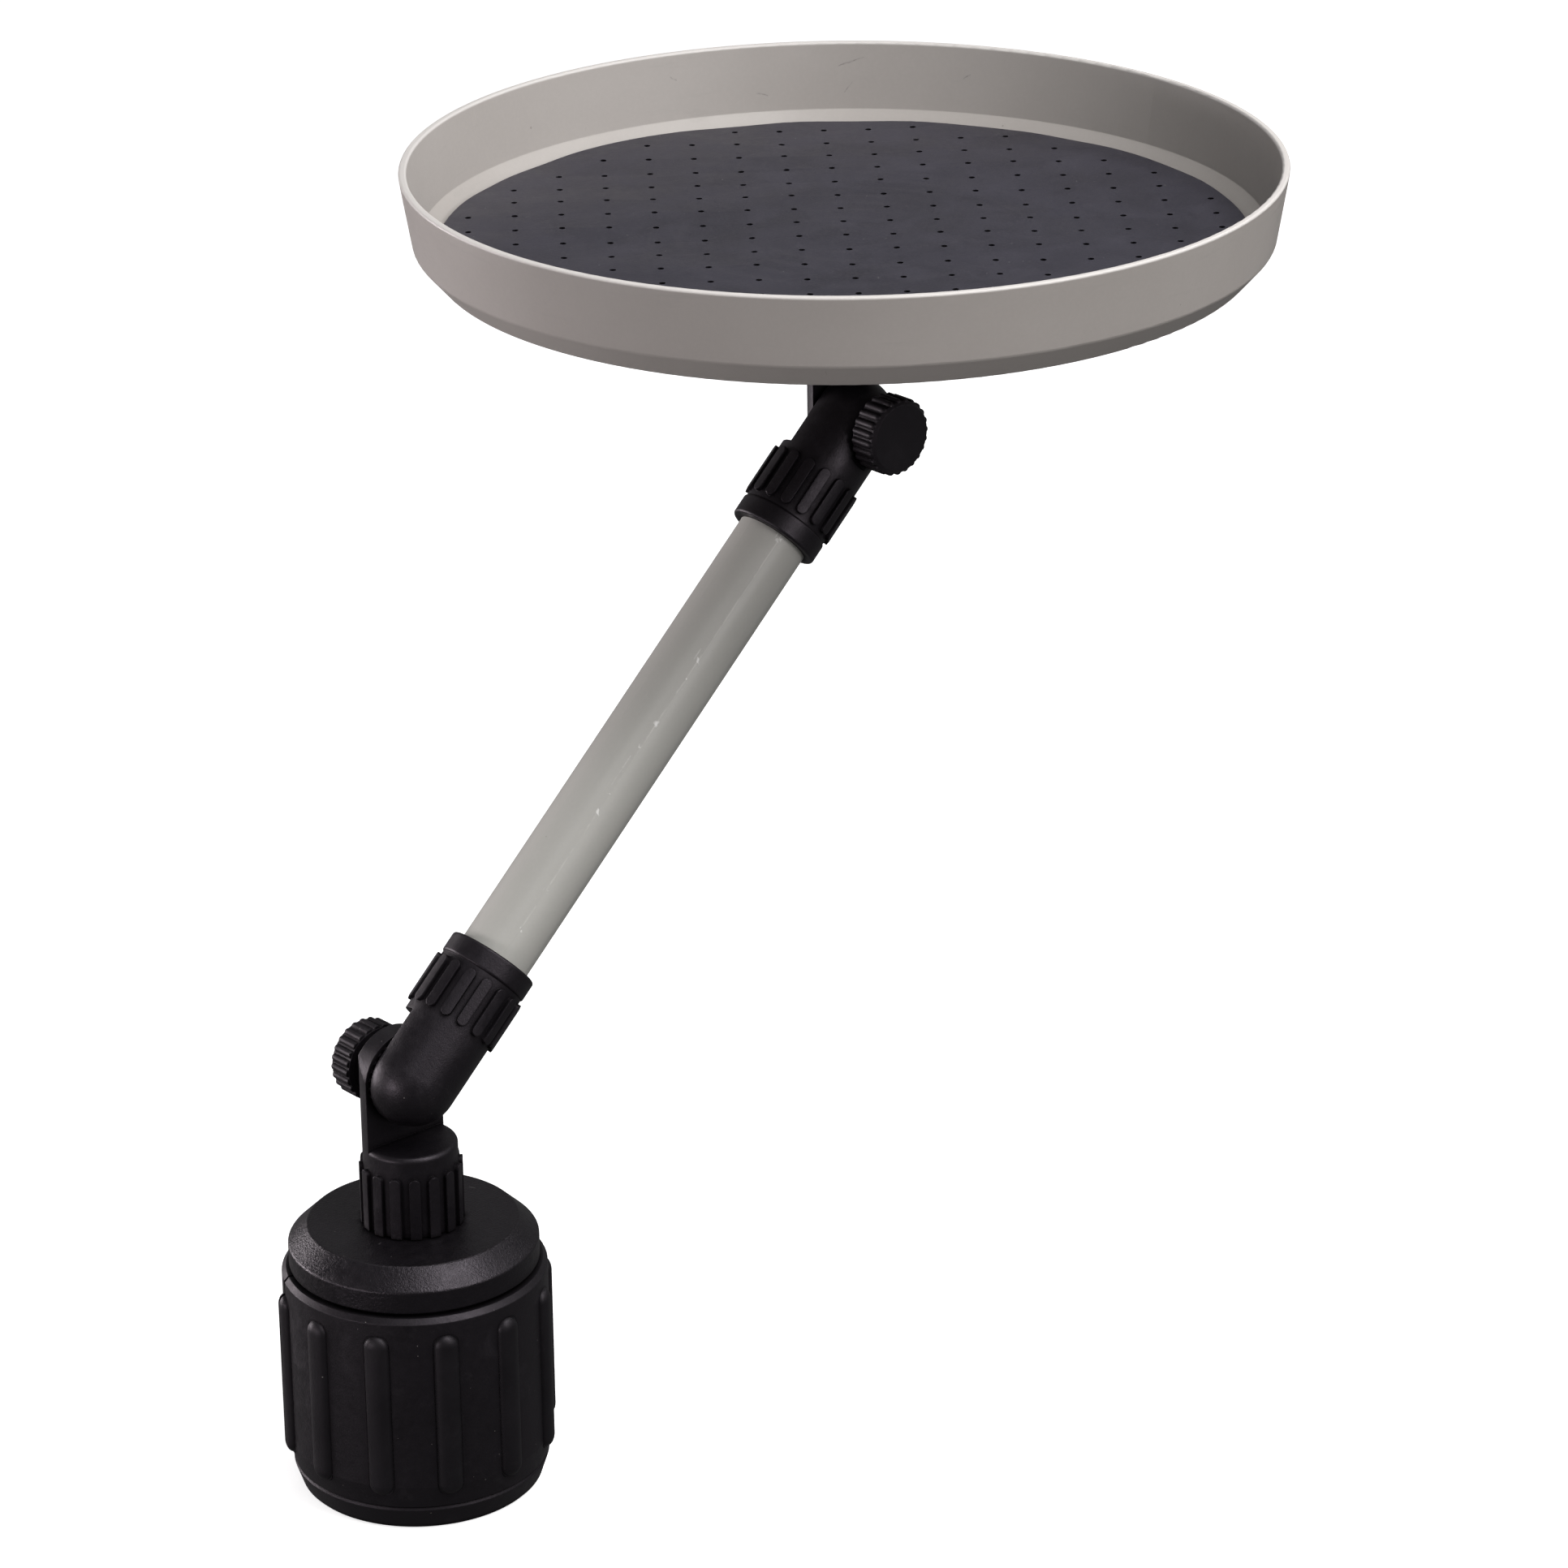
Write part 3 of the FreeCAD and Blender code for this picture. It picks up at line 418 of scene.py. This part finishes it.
def metal(name, a, b, rough):
    n = Net(name)
    col = n.mix(n.span(n.noise(160, 5, 0.65), 0.3, 0.7, 0, 1), a, b)
    n.b.inputs["Metallic"].default_value = 1.0
    lines = n.noise(1500, 2, 0.5, n.mapped(scale=(1, 1, 0.08)))
    return n.done(col, n.span(lines, 0.3, 0.7, rough - 0.08, rough + 0.1), n.bump(lines, 0.15, 0.00005))


SEAM_ANG = 2.53861
CAP_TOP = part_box("dial_cap")[1].z
CAP_NICK = Vector((0.02250, 0.00334, CAP_TOP))
CAP_NICK_2 = Vector((-0.01539, -0.00573, CAP_TOP))
MATS = {
    "drum": black_plastic("drum_black", 1.0, 0.46, 1.0, 1.4, (), 0.16),
    "cap": black_plastic("cap_black", 1.0, 0.36, 1.3, 0.8, [(CAP_NICK, -1.1655, 0.0011), (CAP_NICK_2, 0.3845, 0.0006)], 0.45),
    "joint": black_plastic("joint_black", 1.05, 0.42, 1.0, 0.9, (), 0.14),
    "knob": black_plastic("knob_black", 0.9, 0.50, 0.9, 0.9),
    "rubber": black_rubber("bar_rubber"),
    "tray": grey_tray(),
    "tube": grey_tube(),
    "mat": charcoal_mat(),
    "white": white_plastic(),
    "steel": metal("zinc_steel", (0.50, 0.50, 0.52), (0.66, 0.66, 0.67), 0.32),
    "brass": metal("turned_brass", (0.62, 0.46, 0.20), (0.76, 0.60, 0.30), 0.30),
}
USE = {
    "foot_disc": "drum", "foot_screws": "steel", "base_core": "drum", "guide_rods": "steel",
    "jaw_front": "drum", "jaw_back": "drum", "grip_bars_front": "rubber", "grip_bars_back": "rubber",
    "dial_cap": "cap", "cam_disc": "white", "cam_screws": "steel",
    "swivel_post": "joint", "swivel_insert": "brass", "swivel_bolt": "steel", "swivel_washer": "steel",
    "lower_elbow": "joint", "lower_insert": "brass", "arm_tube": "tube", "upper_elbow": "joint",
    "lower_knob": "knob", "lower_stud": "steel", "lower_washer": "steel",
    "upper_knob": "knob", "upper_stud": "steel", "upper_washer": "steel",
    "tray_stem": "joint", "upper_insert": "brass", "tray": "tray", "tray_screws": "steel", "tray_mat": "mat",
}
for name, obj in nodes.items():
    key = USE[name]
    for s in obj.material_slots:
        s.material = MATS[key]

# ------------------------------------------------------------------ soft domed pads on the jaws
JAW_R = 35.0 * MM
PAD_HALF, PAD_PROUD, PAD_SEAT = 3.35 * MM, 1.8 * MM, 0.75 * MM
PAD_Z0, PAD_Z1 = 11.2 * MM, 57.8 * MM
SPLIT = 0.45 * MM
JAW_YAW = math.radians(-25)


def stadium(half, reach, steps):
    """Outline round the line z = PAD_Z0 + half .. PAD_Z1 - half at a distance reach: (u, z) points."""
    pts = []
    for end, z in ((0, PAD_Z1 - half), (1, PAD_Z0 + half)):
        for i in range(steps + 1):
            t = math.pi * (i / steps + end)
            pts.append((reach * math.cos(t), z + reach * math.sin(t)))
    return pts


def pad_mesh(side):
    """One pad on the +X side of the drum: side 0 whole, -1 or 1 the part with y below -SPLIT or above SPLIT."""
    bm = bmesh.new()
    rings = []
    for k in range(13):
        q = k / 12.0
        rise = PAD_PROUD * (1 - q ** 2.3) ** 0.62
        rings.append([(u, z, JAW_R + rise) for u, z in stadium(PAD_HALF, max(q, 0.02) * PAD_HALF, 14)])
    rings.append([(u, z, JAW_R - PAD_SEAT) for u, z in stadium(PAD_HALF, PAD_HALF * 0.998, 14)])
    made = []
    for ring in rings:
        made.append([bm.verts.new((v * math.cos(u / JAW_R), v * math.sin(u / JAW_R), z)) for u, z, v in ring])
    n = len(made[0])
    for a, b in zip(made, made[1:]):
        for i in range(n):
            j = (i + 1) % n
            bm.faces.new((a[i], a[j], b[j], b[i]))
    bm.faces.new(list(reversed(made[0])))
    bm.faces.new(made[-1])
    # the seat in the jaw, filled flush
    corner = 2.35 * MM
    seat = []
    for cu, cz, t0 in ((1, 1, 0), (-1, 1, 90), (-1, -1, 180), (1, -1, 270)):
        ou = cu * (PAD_HALF - 0.00004 - corner)
        oz = (PAD_Z1 - 0.00004 - corner) if cz > 0 else (PAD_Z0 + 0.00004 + corner)
        for i in range(7):
            t = math.radians(t0 + 15 * i)
            seat.append((ou + corner * math.cos(t), oz + corner * math.sin(t)))
    lo_r, hi_r = JAW_R - PAD_SEAT, JAW_R + 0.00003
    under = [bm.verts.new((lo_r * math.cos(u / JAW_R), lo_r * math.sin(u / JAW_R), z)) for u, z in seat]
    over = [bm.verts.new((hi_r * math.cos(u / JAW_R), hi_r * math.sin(u / JAW_R), z)) for u, z in seat]
    n = len(seat)
    for i in range(n):
        j = (i + 1) % n
        bm.faces.new((under[i], under[j], over[j], over[i]))
    bm.faces.new(over)
    bm.faces.new(list(reversed(under)))
    if side:
        cut = bmesh.ops.bisect_plane(bm, geom=bm.verts[:] + bm.edges[:] + bm.faces[:], plane_co=(0, side * SPLIT, 0),
                                     plane_no=(0, -side, 0), clear_outer=True)
        edges = [e for e in cut["geom_cut"] if isinstance(e, bmesh.types.BMEdge)]
        bmesh.ops.holes_fill(bm, edges=[e for e in edges if e.is_boundary], sides=0)
    bmesh.ops.recalc_face_normals(bm, faces=bm.faces)
    return bm


def pads(name, turn, body, node):
    whole = bmesh.new()
    for side, ang in [(0, -90 + 30 * k) for k in (-2, -1, 0, 1, 2)] + [(-1, 0), (1, 180)]:
        bm = pad_mesh(side)
        bm.transform(Matrix.Rotation(math.radians(ang + turn) + JAW_YAW, 4, "Z"))
        tmp = bpy.data.meshes.new("tmp_pad")
        bm.to_mesh(tmp)
        whole.from_mesh(tmp)
        bm.free()
        bpy.data.meshes.remove(tmp)
    for fc in whole.faces:
        fc.smooth = True
    me = bpy.data.meshes.new(name)
    whole.to_mesh(me)
    whole.free()
    obj = bpy.data.objects.new(name, me)
    scene.collection.objects.link(obj)
    me.materials.append(MATS["rubber"])
    me.set_sharp_from_angle(angle=math.radians(48))
    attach(obj, body)
    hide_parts(node)
    return obj


pads("pads_front", 0, "front_jaw", "grip_bars_front")
pads("pads_back", 180, "back_jaw", "grip_bars_back")

wave = bpy.data.textures.new("mat_wave", "CLOUDS")
wave.noise_scale = 0.038
wave.noise_depth = 1
lift = nodes["tray_mat"].modifiers.new("laid_loose", "DISPLACE")
lift.texture = wave
lift.texture_coords = "LOCAL"
lift.direction = "Z"
lift.mid_level = 0.36
lift.strength = 0.0017

# ------------------------------------------------------------------ stage
def plane(name, size, at, rot=(0, 0, 0)):
    me = bpy.data.meshes.new(name)
    h = size / 2
    me.from_pydata([(-h, -h, 0), (h, -h, 0), (h, h, 0), (-h, h, 0)], [], [(0, 1, 2, 3)])
    o = bpy.data.objects.new(name, me)
    o.location = at
    o.rotation_euler = rot
    scene.collection.objects.link(o)
    return o


floor = plane("studio_floor", 40.0, (0, 0, -0.0003))
fm = Net("floor_white")
fm.b.inputs["Specular IOR Level"].default_value = 0.0
fm.b.inputs["Emission Color"].default_value = (1, 1, 1, 1)
fm.b.inputs["Emission Strength"].default_value = 0.72
fm.done((0.90, 0.90, 0.90, 1), 0.9)
floor.data.materials.append(fm.m)
floor.visible_diffuse = False
floor.visible_glossy = False

# ------------------------------------------------------------------ the camera object
cam_data = bpy.data.cameras.new("photo_camera")
cam = bpy.data.objects.new("photo_camera", cam_data)
scene.collection.objects.link(cam)
cam_data.sensor_fit = "HORIZONTAL"
cam_data.sensor_width = 36.0
cam_data.lens = CAM_F / 1932.0 * 36.0
cam_data.clip_start = 0.05
cam_data.clip_end = 60.0
cam.matrix_world = Matrix(((r2.x, -d2.x, -f.x, CAM_AT.x), (r2.y, -d2.y, -f.y, CAM_AT.y),
                           (r2.z, -d2.z, -f.z, CAM_AT.z), (0, 0, 0, 1)))
scene.camera = cam

# ------------------------------------------------------------------ light
right = Vector((math.cos(AZ), -math.sin(AZ), 0))
near = Vector((-math.sin(AZ), -math.cos(AZ), 0))
up = Vector((0, 0, 1))
mid_pt = Vector((0.09, 0.0, 0.20))


def softbox(name, off, size, watts, aim=mid_pt, tint=(1, 1, 1), sy=None):
    ld = bpy.data.lights.new(name, "AREA")
    ld.shape = "RECTANGLE"
    ld.size = size
    ld.size_y = sy or size
    ld.energy = watts
    ld.color = tint
    o = bpy.data.objects.new(name, ld)
    o.location = mid_pt + right * off[0] + near * off[1] + up * off[2]
    o.rotation_euler = (aim - o.location).to_track_quat("-Z", "Y").to_euler()
    scene.collection.objects.link(o)
    return o


softbox("top_box", (0.0, 0.0, 1.30), 0.7, 2.8)
softbox("top_right_box", (0.60, 0.0, 1.15), 0.6, 1.7)
softbox("key_box", (0.55, 0.45, 1.10), 0.6, 9.0, tint=(1.0, 0.995, 0.985))
softbox("front_box", (0.05, 1.05, 1.00), 0.5, 1.1)
softbox("front_right_box", (0.95, 0.85, 0.60), 0.6, 5.2, tint=(1.0, 0.97, 0.965))
softbox("left_box", (-1.20, -0.45, -0.02), 0.9, 11.0, sy=0.40, tint=(1.0, 0.935, 0.95))
softbox("low_left_box", (-0.95, 0.85, -0.02), 0.5, 3.9, sy=0.30, tint=(1.0, 0.935, 0.95))
softbox("right_box", (1.20, 0.0, 0.50), 0.6, 0.9)
softbox("back_right_box", (0.75, -0.55, 0.95), 0.5, 3.1)
softbox("back_box", (-0.10, -0.75, 1.05), 0.6, 0.7)

world = bpy.data.worlds.new("studio")
scene.world = world
world.use_nodes = True
wt = world.node_tree
wt.nodes.clear()
wo = wt.nodes.new("ShaderNodeOutputWorld")
bg = wt.nodes.new("ShaderNodeBackground")
wtc = wt.nodes.new("ShaderNodeTexCoord")
wsep = wt.nodes.new("ShaderNodeSeparateXYZ")
wr = wt.nodes.new("ShaderNodeMapRange")
wr.inputs[1].default_value = -0.20
wr.inputs[2].default_value = 0.0
wr.inputs[3].default_value = 0.115
wr.inputs[4].default_value = 0.15
wt.links.new(wtc.outputs["Generated"], wsep.inputs[0])
wt.links.new(wsep.outputs[2], wr.inputs[0])
wt.links.new(wr.outputs[0], bg.inputs["Strength"])
bg.inputs["Color"].default_value = (1, 1, 1, 1)
wt.links.new(bg.outputs[0], wo.inputs[0])

scene.view_settings.view_transform = "Standard"
scene.view_settings.look = "None"
